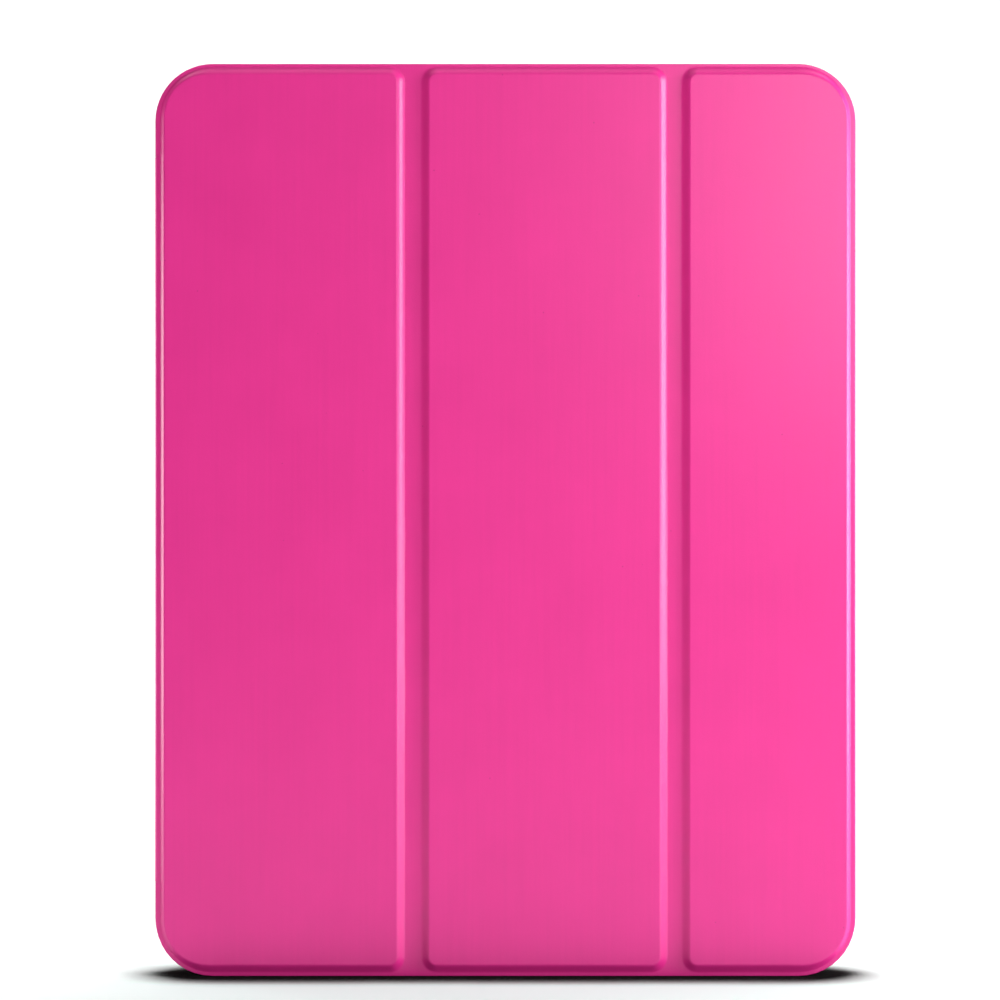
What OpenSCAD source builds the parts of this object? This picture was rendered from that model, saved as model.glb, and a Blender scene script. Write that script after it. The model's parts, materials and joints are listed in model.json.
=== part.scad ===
// Folio case for a large tablet: a moulded tray with a cover of three stiff panels that folds
// into a stand. It is drawn closed and standing on its short bottom edge.
// X runs across the cover, Y from the cover to the back, Z up. The origin is the middle of the
// footprint, on the surface that the case stands on.

/* [Tablet] */
// Width of the tablet
tablet_w = 214.9; // [200:0.1:230]
// Height of the tablet
tablet_h = 280.6; // [260:0.1:300]
// Thickness of the tablet
tablet_t = 6.1; // [5:0.1:9]
// Play between the tablet and each wall
tablet_play = 0.2; // [0.1:0.05:0.4]

/* [Back shell] */
// Thickness of the top and bottom walls
end_wall_t = 2.0; // [1.4:0.1:3]
// Thickness of the right wall, which holds the volume keys
side_wall_t = 1.2; // [1.1:0.1:2]
// Thickness of the left wall, behind the spine
spine_wall_t = 1.1; // [0.8:0.1:2]
// Thickness of the back
back_t = 1.6; // [1.4:0.1:3]
// Thickness of the lip that snaps over the front of the tablet
lip_t = 1.1; // [0.8:0.1:2]
// How far the lip reaches over the tablet
lip_w = 1.0; // [0.6:0.1:2]
// Radius of the case's corners, seen from the front
corner_r = 18; // [12:0.5:24]
// Radius of the tray's corners inside
bay_r = 16.5; // [8:0.5:20]
// Rounding of the tray's back edge
back_edge_r = 2.2; // [1:0.1:3]
// Rounding of the tray's front edge
front_edge_r = 0.5; // [0.3:0.1:0.6]

/* [Cover] */
// Thickness of the synthetic leather skin
skin_t = 0.6; // [0.4:0.1:1]
// Thickness of the boards, which is also how far the panels stand proud
board_t = 1.5; // [1.2:0.1:2]
// Thickness of the microfibre lining
lining_t = 0.5; // [0.3:0.1:0.8]
// Air between the closed cover and the tray
cover_gap = 0.2; // [0.1:0.1:0.6]
// How far the cover's outline stays inside the tray's
cover_inset = 0.3; // [0:0.1:0.6]
// Width of the first and second panels
panel_w = 76.9; // [68:0.1:78]
// Width of the groove between the first and second panels
groove_1_w = 5.0; // [4.6:0.1:7]
// Width of the groove between the second and third panels
groove_2_w = 4.4; // [4.2:0.1:7]
// Width of the thin rim round the panels
rim_w = 1.3; // [1:0.1:3]
// Width of the bevel along a panel's outer edges
edge_bevel_w = 1.5; // [1:0.1:3]
// Width of the bevel along a panel's groove edges
groove_bevel_w = 2.6; // [2:0.1:4]
// Radius of the panels' corners beside a groove
groove_corner_r = 5; // [4:0.5:8]

/* [Spine] */
// Length of the spine
spine_len = 226; // [150:1:240]
// Thickness of the spine's board
spine_board_t = 0.4; // [0.3:0.1:0.8]
// Thickness of the spine's lining
spine_lining_t = 0.3; // [0.2:0.1:0.6]
// Air between the spine and the tray's left wall
spine_gap = 0.1; // [0.1:0.05:0.3]
// How far the bonded flap reaches across the back
flap_w = 22; // [12:1:40]

/* [Openings] */
// Side of the camera window
camera_w = 34; // [20:1:50]
// From the tablet's top and right edges to the middle of the camera window
camera_in = 21; // [16:1:40]
// Length of the charging port's opening
port_len = 14; // [9:0.5:30]
// Width of the charging port's opening
port_w = 5.6; // [4.5:0.1:6]
// Length of the stylus window in the right wall
stylus_len = 60; // [20:1:80]
// Width of the stylus window
stylus_w = 5.2; // [4.5:0.1:6]
// Length of a speaker slot
speaker_len = 30; // [10:1:30]
// Width of a speaker slot
speaker_w = 3.2; // [1.5:0.1:5]
// From the case's middle to the middle of a speaker slot
speaker_x = 56; // [40:1:58]

/* [Keys] */
// Length of a volume key
volume_key_len = 11; // [8:0.5:14]
// Length of the power key
power_key_len = 13; // [8:0.5:16]
// Width of the keys
key_w = 3.4; // [2.5:0.1:4.5]
// Air round a key
key_gap = 0.3; // [0.2:0.05:0.5]

/* [Magnets] */
// Length of a bar magnet
magnet_len = 10; // [5:0.5:15]
// Width of a bar magnet
magnet_w = 4; // [2:0.5:6]
// Thickness of a magnet
magnet_t = 1.0; // [0.5:0.1:1.1]
// Bar magnets in a row
magnet_count = 4; // [2:1:6]

/* [Hidden] */
$fn = 64;

SHELL_COLOUR = "#d8327f";
SKIN_COLOUR = "#f2509e";
LINING_COLOUR = "#e878ae";
BOARD_COLOUR = "#c9b79a";
MAGNET_COLOUR = "#b8bcc2";

over = 1; // what a cutter reaches past a face
split_gap = 0.1; // air between two pieces that meet at a fold

// depths, from the back to the front
spine_t = skin_t + spine_board_t + spine_lining_t;
cover_t = skin_t + board_t + lining_t;
shell_d = back_t + lining_t + tablet_t + tablet_play + lip_t;
case_d = shell_d + cover_gap + cover_t;
back_y = case_d / 2;
floor_y = back_y - back_t;
pad_y = floor_y - lining_t;
lip_y = pad_y - tablet_t - tablet_play;
tray_y = back_y - shell_d;
cover_y = tray_y - cover_gap;
cloth_y = cover_y - lining_t;
rim_y = cloth_y - skin_t;

// widths and heights
bay_w = tablet_w + 2 * tablet_play;
bay_h = tablet_h + 2 * tablet_play;
case_w = bay_w + side_wall_t + spine_wall_t + spine_gap + spine_t;
case_h = bay_h + 2 * end_wall_t;
left_x = -case_w / 2;
right_x = case_w / 2;
bay_x0 = left_x + spine_t + spine_gap + spine_wall_t;
bay_x1 = bay_x0 + bay_w;
bay_mid_x = (bay_x0 + bay_x1) / 2;
mid_z = case_h / 2;
tablet_right_x = bay_x1 - tablet_play;
tablet_top_z = case_h - end_wall_t - tablet_play;

// the spine and its flap
spine_z0 = mid_z - spine_len / 2;
spine_z1 = mid_z + spine_len / 2;
flap_t = skin_t;
flap_corner_r = 4;
board_setback = 1.0; // from a fold's mitre to the spine's board
end_setback = 3; // from the spine's ends to its board

// the cover's panels, from the spine outwards, and the folds between them
cover_x0 = left_x + cover_inset;
cover_x1 = right_x - cover_inset;
cover_top_z = case_h - cover_inset;
fold_1_x = left_x + rim_w + panel_w + groove_1_w / 2;
fold_2_x = fold_1_x + groove_1_w / 2 + panel_w + groove_2_w / 2;
panel_x0 = [left_x + rim_w, fold_1_x + groove_1_w / 2, fold_2_x + groove_2_w / 2];
panel_x1 = [fold_1_x - groove_1_w / 2, fold_2_x - groove_2_w / 2, right_x - rim_w];
sheet_x0 = [cover_x0, fold_1_x + split_gap / 2, fold_2_x + split_gap / 2];
sheet_x1 = [fold_1_x - split_gap / 2, fold_2_x - split_gap / 2, cover_x1];
bevel_x0 = [edge_bevel_w, groove_bevel_w, groove_bevel_w];
bevel_x1 = [groove_bevel_w, groove_bevel_w, edge_bevel_w];
outer_panel_r = corner_r - rim_w;
panel_r0 = [outer_panel_r, groove_corner_r, groove_corner_r];
panel_r1 = [groove_corner_r, groove_corner_r, outer_panel_r];
sheet_r0 = [corner_r - cover_inset, 0, 0];
sheet_r1 = [0, 0, corner_r - cover_inset];

// openings and keys
camera_r = 10;
camera_x = tablet_right_x - camera_in;
camera_z = tablet_top_z - camera_in;
camera_flare = 1.2; // how much wider the camera window is at the back face
edge_mid_y = (pad_y + lip_y) / 2; // the middle of the tablet's edge
volume_up_z = tablet_top_z - 32;
volume_down_z = tablet_top_z - 48;
power_x = tablet_right_x - 24;
key_play = 0.05; // between a key's inner face and the bay

// magnets, in rows along the boards' edges
magnet_play = 0.1;
magnet_pitch = 52;
magnet_in = 8; // from a board's edge to the middle of its row
wake_magnet_z = mid_z + 110;

// A flat outline in the XZ plane, from depth y towards the front by t
module upright(y, t) {
    translate([0, y, 0]) rotate([90, 0, 0]) linear_extrude(t) children();
}

// A box outline whose left and right corners are rounded by r0 and r1
module outline(x0, z0, x1, z1, r0, r1) {
    translate([x0 + r0, z0]) square([x1 - x0 - r0 - r1, z1 - z0]);
    rounded_side(x0, z0, z1, r0, 1);
    rounded_side(x1, z0, z1, r1, -1);
}

// The rounded side of an outline at x, which the outline lies towards by way
module rounded_side(x, z0, z1, r, way) {
    if (r > 0) {
        translate([min(x, x + way * r), z0 + r]) square([r, z1 - z0 - 2 * r]);
        for (z = [z0 + r, z1 - r]) translate([x + way * r, z]) circle(r);
    }
}

// A slot outline with round ends, centred, long along X
module slot(len, w) {
    square([len - w, w], center = true);
    for (x = [-1, 1]) translate([x * (len - w) / 2, 0]) circle(w / 2);
}

// A slot along Z through the right wall
module side_slot(z, len, w, x0, x1) {
    translate([x0, edge_mid_y, z]) rotate([0, 90, 0]) linear_extrude(x1 - x0) slot(len, w);
}

// A slot along X through the top or bottom wall
module end_slot(x, len, w, z0, z1) {
    translate([x, edge_mid_y, z0]) linear_extrude(z1 - z0) slot(len, w);
}

// The bay's outline, smaller by inset all round
module bay_outline(inset) {
    r = bay_r - inset;
    outline(bay_x0 + inset, end_wall_t + inset, bay_x1 - inset, case_h - end_wall_t - inset, r, r);
}

// Section through half of the tray block, from its middle out to an edge at w: 0 on the second
// axis is the back face, whose edge is rounded by back_edge_r, and shell_d is the front
module half_section(w) {
    square([w - back_edge_r, shell_d]);
    translate([0, back_edge_r]) square([w, shell_d - back_edge_r - front_edge_r]);
    translate([0, back_edge_r]) square([w - front_edge_r, shell_d - back_edge_r]);
    translate([w - back_edge_r, back_edge_r]) circle(back_edge_r);
    translate([w - front_edge_r, shell_d - front_edge_r]) circle(front_edge_r);
}

module whole_section(w) {
    half_section(w);
    mirror([1, 0]) half_section(w);
}

// The tray's outer form: two crossed bars and a quarter turn of their section in each corner
module tray_block() {
    inner_x = case_w / 2 - corner_r;
    inner_h = case_h - 2 * corner_r;
    translate([0, back_y, corner_r]) linear_extrude(inner_h) mirror([0, 1]) whole_section(case_w / 2);
    translate([-inner_x, back_y, mid_z]) rotate([90, 0, 90])
        linear_extrude(2 * inner_x) rotate(90) whole_section(case_h / 2);
    for (corner = [0 : 3]) {
        x = inner_x * (corner == 0 || corner == 3 ? 1 : -1);
        z = mid_z + inner_h / 2 * (corner < 2 ? 1 : -1);
        translate([x, back_y, z]) rotate([90, 0, 0]) rotate([0, 0, 90 * corner])
            rotate_extrude(angle = 90) half_section(corner_r);
    }
}

// Where the spine and its flap lie in the tray's left edge and back
module spine_recess() {
    z0 = spine_z0 - 2 * split_gap;
    h = spine_len + 4 * split_gap;
    translate([left_x - over, tray_y - over, z0]) cube([spine_t + spine_gap + over, shell_d + 2 * over, h]);
    upright(back_y + over, flap_t + over)
        outline(left_x, z0, left_x + flap_w + split_gap, z0 + h, 0, flap_corner_r);
}

module camera_outline(grow) {
    half = camera_w / 2 + grow;
    r = camera_r + grow;
    outline(camera_x - half, camera_z - half, camera_x + half, camera_z + half, r, r);
}

// The camera window, which flares towards the back face
module camera_window() {
    upright(back_y + over, back_t + lining_t + 2 * over) camera_outline(0);
    hull() {
        upright(back_y + 0.01, 0.02) camera_outline(camera_flare);
        upright(back_y - camera_flare, 0.02) camera_outline(0);
    }
}

module key_windows() {
    for (z = [volume_up_z, volume_down_z])
        side_slot(z, volume_key_len + 2 * key_gap, key_w + 2 * key_gap, bay_x1 - over, right_x + over);
    translate([power_x, edge_mid_y, case_h - end_wall_t - over])
        linear_extrude(end_wall_t + 2 * over) slot(power_key_len + 2 * key_gap, key_w + 2 * key_gap);
}

module port_windows() {
    end_slot(bay_mid_x, port_len, port_w, -over, end_wall_t + over);
    side_slot(mid_z, stylus_len, stylus_w, bay_x1 - over, right_x + over);
    for (x = [-speaker_x, speaker_x], z = [-over, case_h - end_wall_t - over])
        end_slot(bay_mid_x + x, speaker_len, speaker_w, z, z + end_wall_t + 2 * over);
}

module back_shell() {
    color(SHELL_COLOUR) difference() {
        tray_block();
        upright(floor_y, floor_y - lip_y) bay_outline(0);
        upright(lip_y + over, lip_y - tray_y + 2 * over) bay_outline(lip_w);
        spine_recess();
        camera_window();
        key_windows();
        port_windows();
    }
}

module back_lining() {
    color(LINING_COLOUR) difference() {
        upright(floor_y, lining_t) bay_outline(lip_w);
        upright(floor_y + over, lining_t + 2 * over) camera_outline(camera_flare);
    }
}

// The flap bonded into the back's recess, cut off at the fold's diagonal
module back_flap_skin() {
    color(SKIN_COLOUR) difference() {
        upright(back_y, flap_t)
            outline(left_x, spine_z0, left_x + flap_w, spine_z1, 0, flap_corner_r);
        translate([left_x, back_y, spine_z0 - over]) linear_extrude(spine_len + 2 * over)
            polygon([[-over, over], [split_gap, over], [split_gap, 0], [split_gap + flap_t, -flap_t],
                [split_gap + flap_t, -flap_t - over], [-over, -flap_t - over]]);
    }
}

// The spine's section between two depths from its outer face, cut off at the folds' diagonals
module spine_layer(near, far) {
    translate([left_x, 0, spine_z0]) linear_extrude(spine_len)
        polygon([
            [near, back_y - near - split_gap], [far, back_y - far - split_gap],
            [far, rim_y + far + split_gap], [near, rim_y + near + split_gap]]);
}

module spine_board_block(play) {
    y0 = rim_y + board_setback + spine_t;
    y1 = back_y - board_setback - spine_t;
    translate([left_x + skin_t, y0, spine_z0 + end_setback])
        cube([spine_board_t + play, y1 - y0, spine_len - 2 * end_setback]);
}

module spine_skin() {
    color(SKIN_COLOUR) difference() {
        spine_layer(0, skin_t + spine_board_t);
        spine_board_block(over);
    }
}

module spine_board() {
    color(BOARD_COLOUR) spine_board_block(0);
}

module spine_lining() {
    color(LINING_COLOUR) spine_layer(skin_t + spine_board_t, spine_t);
}

// The outline of one panel's flat sheet, out to the cover's rim
module sheet_outline(i) {
    outline(sheet_x0[i], 0, sheet_x1[i], cover_top_z, sheet_r0[i], sheet_r1[i]);
}

// The outline of a panel's raised part; rise is 0 at the foot of its bevel and 1 at the top
module raised_outline(i, rise) {
    dx0 = rise * bevel_x0[i];
    dx1 = rise * bevel_x1[i];
    dz = rise * edge_bevel_w;
    outline(panel_x0[i] + dx0, rim_w + dz, panel_x1[i] - dx1, case_h - rim_w - dz,
        panel_r0[i] - dz, panel_r1[i] - dz);
}

// The strip that joins the first panel's sheet to the spine, in the layer from y back by t
module spine_tongue(y, t) {
    near = y - rim_y;
    translate([left_x, rim_y, spine_z0]) linear_extrude(spine_len)
        polygon([[near + split_gap - t, near - t], [near + split_gap, near],
            [corner_r, near], [corner_r, near - t]]);
}

// Where the first panel's sheet gives way to the spine's tongue
module tongue_notch() {
    translate([left_x - over, cover_y - case_d, spine_z0 - split_gap])
        cube([over + 2 * spine_t, case_d + over, spine_len + 2 * split_gap]);
}

module panel_sheet(i, y, t) {
    difference() {
        upright(y, t) sheet_outline(i);
        if (i == 0) tongue_notch();
    }
    if (i == 0) spine_tongue(y, t);
}

module panel_skin(i) {
    color(SKIN_COLOUR) difference() {
        union() {
            panel_sheet(i, cloth_y, skin_t);
            hull() {
                upright(rim_y + 0.1, 0.1) raised_outline(i, 0);
                upright(rim_y - board_t + 0.01, 0.01) raised_outline(i, 1);
            }
        }
        upright(cloth_y + over, board_t + over) raised_outline(i, 1);
    }
}

module panel_board(i) {
    color(BOARD_COLOUR) difference() {
        upright(cloth_y, board_t) raised_outline(i, 1);
        if (i == 0) magnet_row(magnet_row_x(0), magnet_play);
        if (i == 2) {
            magnet_row(magnet_row_x(2), magnet_play);
            wake_block(magnet_play);
        }
    }
}

module panel_lining(i) {
    color(LINING_COLOUR) panel_sheet(i, cover_y, lining_t);
}

// The first panel's row lies by the spine and the third panel's by its free edge
function magnet_row_x(i) = i == 0
    ? panel_x0[0] + edge_bevel_w + magnet_in
    : panel_x1[2] - edge_bevel_w - magnet_in;

// A flat magnet at x, z on the board's inner face, larger all round by play
module magnet_block(x, z, w, len, play) {
    translate([x - w / 2 - play, cloth_y - magnet_t - play, z - len / 2 - play])
        cube([w + 2 * play, magnet_t + play * 2, len + 2 * play]);
}

module magnet_row(x, play) {
    for (n = [0 : magnet_count - 1])
        magnet_block(x, mid_z + (n - (magnet_count - 1) / 2) * magnet_pitch, magnet_w, magnet_len, play);
}

module wake_block(play) {
    magnet_block(magnet_row_x(2), wake_magnet_z, magnet_w, magnet_w, play);
}

module volume_key(z) {
    color(SHELL_COLOUR) side_slot(z, volume_key_len, key_w, bay_x1 + key_play, right_x);
}

module power_key() {
    color(SHELL_COLOUR) end_slot(power_x, power_key_len, key_w, case_h - end_wall_t + key_play, case_h);
}

back_shell();
back_lining();
back_flap_skin();
spine_skin();
spine_board();
spine_lining();
panel_skin(0);  // panel_1_skin
panel_board(0);  // panel_1_board
panel_lining(0);  // panel_1_lining
panel_skin(1);  // panel_2_skin
panel_board(1);  // panel_2_board
panel_lining(1);  // panel_2_lining
panel_skin(2);  // panel_3_skin
panel_board(2);  // panel_3_board
panel_lining(2);  // panel_3_lining
color(MAGNET_COLOUR) magnet_row(magnet_row_x(0), 0);  // stand_magnets
color(MAGNET_COLOUR) magnet_row(magnet_row_x(2), 0);  // closing_magnets
color(MAGNET_COLOUR) wake_block(0);  // wake_magnet
volume_key(volume_up_z);  // volume_up_key
volume_key(volume_down_z);  // volume_down_key
power_key();
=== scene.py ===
"""Looks of a folio case for a large tablet, built round its CAD frame.

The leather cover, its microfibre lining, the pad in the tray and the key caps are surfaces worked
out on grids. The moulded tray is a welded, smoothly shaded copy of its CAD shape. The boards and
magnets inside keep their CAD shapes and get their finishes here. The case's lengths are
millimetres until a mesh is made; finishes and the studio are in metres.
"""

import json
import logging
import math
from dataclasses import dataclass, field
from enum import Enum
from typing import Any

import bmesh
import bpy
import numpy as np
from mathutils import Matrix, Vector

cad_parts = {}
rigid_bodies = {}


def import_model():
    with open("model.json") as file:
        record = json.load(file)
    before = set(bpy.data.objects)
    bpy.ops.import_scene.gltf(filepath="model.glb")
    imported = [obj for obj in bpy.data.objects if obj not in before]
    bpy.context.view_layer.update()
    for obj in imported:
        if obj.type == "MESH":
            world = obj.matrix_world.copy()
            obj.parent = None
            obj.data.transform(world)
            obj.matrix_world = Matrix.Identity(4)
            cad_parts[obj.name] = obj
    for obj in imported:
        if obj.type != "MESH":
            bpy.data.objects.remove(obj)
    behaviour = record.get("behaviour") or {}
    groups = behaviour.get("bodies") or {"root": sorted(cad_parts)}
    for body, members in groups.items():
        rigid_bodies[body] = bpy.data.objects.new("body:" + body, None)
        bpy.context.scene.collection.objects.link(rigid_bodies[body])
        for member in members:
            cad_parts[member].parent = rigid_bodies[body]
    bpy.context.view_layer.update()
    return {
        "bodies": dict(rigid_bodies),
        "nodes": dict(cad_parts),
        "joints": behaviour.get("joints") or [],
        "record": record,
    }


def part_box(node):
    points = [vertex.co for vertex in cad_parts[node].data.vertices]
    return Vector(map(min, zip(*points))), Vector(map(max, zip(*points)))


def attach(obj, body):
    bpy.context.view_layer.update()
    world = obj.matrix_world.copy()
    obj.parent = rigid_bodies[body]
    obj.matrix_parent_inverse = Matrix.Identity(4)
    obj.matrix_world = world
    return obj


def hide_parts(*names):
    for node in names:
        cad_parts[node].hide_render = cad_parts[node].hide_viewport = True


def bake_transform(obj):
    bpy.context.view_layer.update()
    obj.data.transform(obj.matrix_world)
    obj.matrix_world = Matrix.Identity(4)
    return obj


LOG = logging.getLogger("tablet_case")
MM = 0.001
WELD_M = 2e-6
LAY = "lay"
WHITE = (1.0, 1.0, 1.0, 1.0)
NOISE_BAND = (0.3, 0.7)

Colour = tuple[float, float, float]
Pair = tuple[float, float]


class Body(str, Enum):
    """The rigid bodies of the CAD frame."""

    TRAY = "tray"
    SPINE = "spine"
    PANEL_1 = "panel_1"
    PANEL_2 = "panel_2"
    PANEL_3 = "panel_3"
    VOLUME_UP = "volume_up"
    VOLUME_DOWN = "volume_down"
    POWER = "power"


class Slot(str, Enum):
    """The material slots of the record."""

    SHELL = "shell"
    LEATHER = "leather"
    LINING = "lining"
    KEY = "key"


class Place(Enum):
    """Where a finish takes its coordinates from."""

    OBJECT = "object"
    SURFACE = "surface"


# ---------------------------------------------------------------- finishes


def shade(colour: Colour, factor: float) -> Colour:
    """The colour with each channel multiplied by a factor, at most 1."""
    return tuple(min(1.0, channel * factor) for channel in colour)


class Recipe:
    """A material's node tree, put together step by step round one Principled shader."""

    def __init__(self, name: str, place: Place) -> None:
        """Starts the tree.

        Args:
            name: the material's name.
            place: OBJECT for object coordinates, SURFACE for the rest place kept on the mesh.
        """
        self.material = bpy.data.materials.new(name)
        self.material.use_nodes = True
        self.tree = self.material.node_tree
        self.tree.nodes.clear()
        self.shader = self.add("ShaderNodeBsdfPrincipled")
        output = self.add("ShaderNodeOutputMaterial")
        self.join(self.shader.outputs["BSDF"], output.inputs["Surface"])
        if place is Place.OBJECT:
            self.where = self.add("ShaderNodeTexCoord").outputs["Object"]
        else:
            self.where = self.add("ShaderNodeAttribute", attribute_name=LAY).outputs["Vector"]

    def add(self, kind: str, **settings: Any) -> bpy.types.Node:
        """Adds a node and sets its properties.

        Args:
            kind: the node's type name.
            settings: properties of the node.

        Returns:
            The new node.
        """
        node = self.tree.nodes.new(kind)
        for key, value in settings.items():
            setattr(node, key, value)
        return node

    def join(self, source: bpy.types.NodeSocket, target: bpy.types.NodeSocket) -> None:
        """Links two sockets."""
        self.tree.links.new(source, target)

    def feed(self, target: bpy.types.NodeSocket, value: Any) -> None:
        """Gives an input a link or a plain value.

        Args:
            target: the input socket.
            value: a socket, or a value for the input.
        """
        if isinstance(value, bpy.types.NodeSocket):
            self.join(value, target)
        else:
            target.default_value = value

    def streaks(self, factors: Colour, scale: float = 1.0) -> bpy.types.NodeSocket:
        """Noise over coordinates scaled along each axis, so that its features come out long.

        Args:
            factors: what each axis is multiplied by.
            scale: features per scaled unit.

        Returns:
            The noise value.
        """
        node = self.add("ShaderNodeMapping")
        node.inputs["Scale"].default_value = factors
        self.join(self.where, node.inputs["Vector"])
        return self.noise(scale, 3.0, node.outputs["Vector"])

    def noise(self, scale: float, detail: float = 2.0, where: Any = None) -> bpy.types.NodeSocket:
        """Fractal noise from 0 to 1.

        Args:
            scale: features per metre.
            detail: octaves added.
            where: coordinates, or None for the recipe's own.

        Returns:
            The noise value.
        """
        node = self.add("ShaderNodeTexNoise")
        node.inputs["Scale"].default_value = scale
        node.inputs["Detail"].default_value = detail
        self.join(where or self.where, node.inputs["Vector"])
        return node.outputs["Fac"]

    def cells(self, scale: float, feature: str = "SMOOTH_F1") -> bpy.types.Node:
        """Cell noise, for grain and specks.

        Args:
            scale: cells per metre.
            feature: which distance the node gives.

        Returns:
            The node, for its distance and its colour.
        """
        node = self.add("ShaderNodeTexVoronoi", feature=feature)
        node.inputs["Scale"].default_value = scale
        self.join(self.where, node.inputs["Vector"])
        return node

    def maths(self, operation: str, first: Any, second: Any = 0.0) -> bpy.types.NodeSocket:
        """One arithmetic step.

        Args:
            operation: the Math node's operation.
            first: a socket or number.
            second: a socket or number.

        Returns:
            The result.
        """
        node = self.add("ShaderNodeMath", operation=operation)
        self.feed(node.inputs[0], first)
        self.feed(node.inputs[1], second)
        return node.outputs["Value"]

    def total(self, *terms: tuple[Any, float]) -> bpy.types.NodeSocket:
        """Adds up sockets, each multiplied by its weight.

        Args:
            terms: pairs of a socket and a weight.

        Returns:
            The sum.
        """
        result = self.maths("MULTIPLY", *terms[0])
        for value, weight in terms[1:]:
            result = self.maths("ADD", result, self.maths("MULTIPLY", value, weight))
        return result

    def span(self, value: Any, ends: Pair, out: Pair = (0.0, 1.0)) -> bpy.types.NodeSocket:
        """Carries a range over to another, clamped.

        Args:
            value: the input.
            ends: the input's low and high ends.
            out: what the two ends become.

        Returns:
            The mapped value.
        """
        node = self.add("ShaderNodeMapRange")
        for name, number in zip(("From Min", "From Max", "To Min", "To Max"), (*ends, *out)):
            node.inputs[name].default_value = number
        self.feed(node.inputs["Value"], value)
        return node.outputs["Result"]

    def blend(self, share: Any, first: Any, second: Any) -> bpy.types.NodeSocket:
        """Mixes two colours.

        Args:
            share: how much of the second.
            first: a colour or socket.
            second: a colour or socket.

        Returns:
            The mixed colour.
        """
        node = self.add("ShaderNodeMix", data_type="RGBA")
        self.feed(node.inputs["Factor"], share)
        for name, colour in (("A", first), ("B", second)):
            self.feed(node.inputs[name], (*colour, 1.0) if isinstance(colour, tuple) else colour)
        return node.outputs["Result"]

    def tones(self, value: Any, ends: Pair, colour: Colour, factors: Pair) -> bpy.types.NodeSocket:
        """A colour that runs from one shade of itself to another.

        Args:
            value: what drives the change.
            ends: the values at which each shade is reached.
            colour: the colour.
            factors: what it is multiplied by at the two ends.

        Returns:
            The shaded colour.
        """
        first, second = (shade(colour, factor) for factor in factors)
        return self.blend(self.span(value, ends), first, second)

    def open_sky(self, reach: float, samples: int) -> bpy.types.NodeSocket:
        """How open the surface's surroundings are.

        Args:
            reach: how far off other surfaces count, in metres.
            samples: rays for each shading.

        Returns:
            The share of open sky, 0 to 1.
        """
        node = self.add("ShaderNodeAmbientOcclusion", samples=samples)
        node.inputs["Distance"].default_value = reach
        return node.outputs["AO"]

    def relief(self, height: Any, depth: float, strength: float) -> None:
        """Raises the surface by a height field.

        Args:
            height: the height socket, about 0 to 1.
            depth: metres between 0 and 1.
            strength: how strongly it shades.
        """
        node = self.add("ShaderNodeBump")
        node.inputs["Strength"].default_value = strength
        node.inputs["Distance"].default_value = depth
        self.join(height, node.inputs["Height"])
        self.join(node.outputs["Normal"], self.shader.inputs["Normal"])

    def settle(self, **values: Any) -> bpy.types.Material:
        """Sets the shader's own inputs, with underscores for spaces, and ends the recipe.

        Args:
            values: sockets or plain values for the shader's inputs.

        Returns:
            The finished material.
        """
        for name, value in values.items():
            self.feed(self.shader.inputs[name.replace("_", " ")], value)
        return self.material


@dataclass(frozen=True)
class Leather:
    """Satin synthetic leather: fine pebble grain, faint lengthwise streaks, rare dark specks."""

    colour: Colour = (0.86, 0.028, 0.295)
    roughness: float = 0.42
    mottle_per_m: float = 38.0
    grain_per_m: float = 2300.0
    fine_per_m: float = 5200.0
    streak_per_m: Colour = (900.0, 900.0, 26.0)
    speck_per_m: float = 190.0
    speck_share: float = 0.1
    speck_strength: float = 0.35
    grain_depth: float = 0.00006

    def build(self) -> bpy.types.Material:
        """Makes the material.

        The colour is the base mixed towards a darker and a lighter one by slow mottling and by
        noise stretched along the height; specks are the hearts of a few wide cells.

        Returns:
            The finished material.
        """
        mix = Recipe("satin_leather", Place.SURFACE)
        mottle = mix.noise(self.mottle_per_m, 4.0)
        streak = mix.streaks(self.streak_per_m)
        fine = mix.noise(self.fine_per_m)
        tone = mix.total((mottle, 0.45), (streak, 0.22), (fine, 0.33))
        body = mix.tones(tone, NOISE_BAND, self.colour, (0.945, 1.055))
        speck = mix.cells(self.speck_per_m, "F1")
        heart = mix.span(speck.outputs["Distance"], (0.035, 0.06), (1.0, 0.0))
        chance = mix.maths("FRACT", mix.maths("MULTIPLY", speck.outputs["Color"], 7.3))
        rare = mix.maths("GREATER_THAN", chance, 1.0 - self.speck_share)
        spot = mix.maths("MULTIPLY", mix.maths("MULTIPLY", heart, rare), self.speck_strength)
        body = mix.blend(spot, body, shade(self.colour, 0.45))
        grain = mix.cells(self.grain_per_m).outputs["Distance"]
        mix.relief(mix.total((grain, 0.7), (fine, 0.5), (streak, 0.22)), self.grain_depth, 0.35)
        gloss = mix.span(mix.total((mottle, 0.5), (fine, 0.5)), NOISE_BAND,
                         (self.roughness - 0.05, self.roughness + 0.06))
        return mix.settle(Base_Color=body, Roughness=gloss, Specular_IOR_Level=0.3,
                          Coat_Weight=0.55, Coat_Roughness=0.27)


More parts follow.
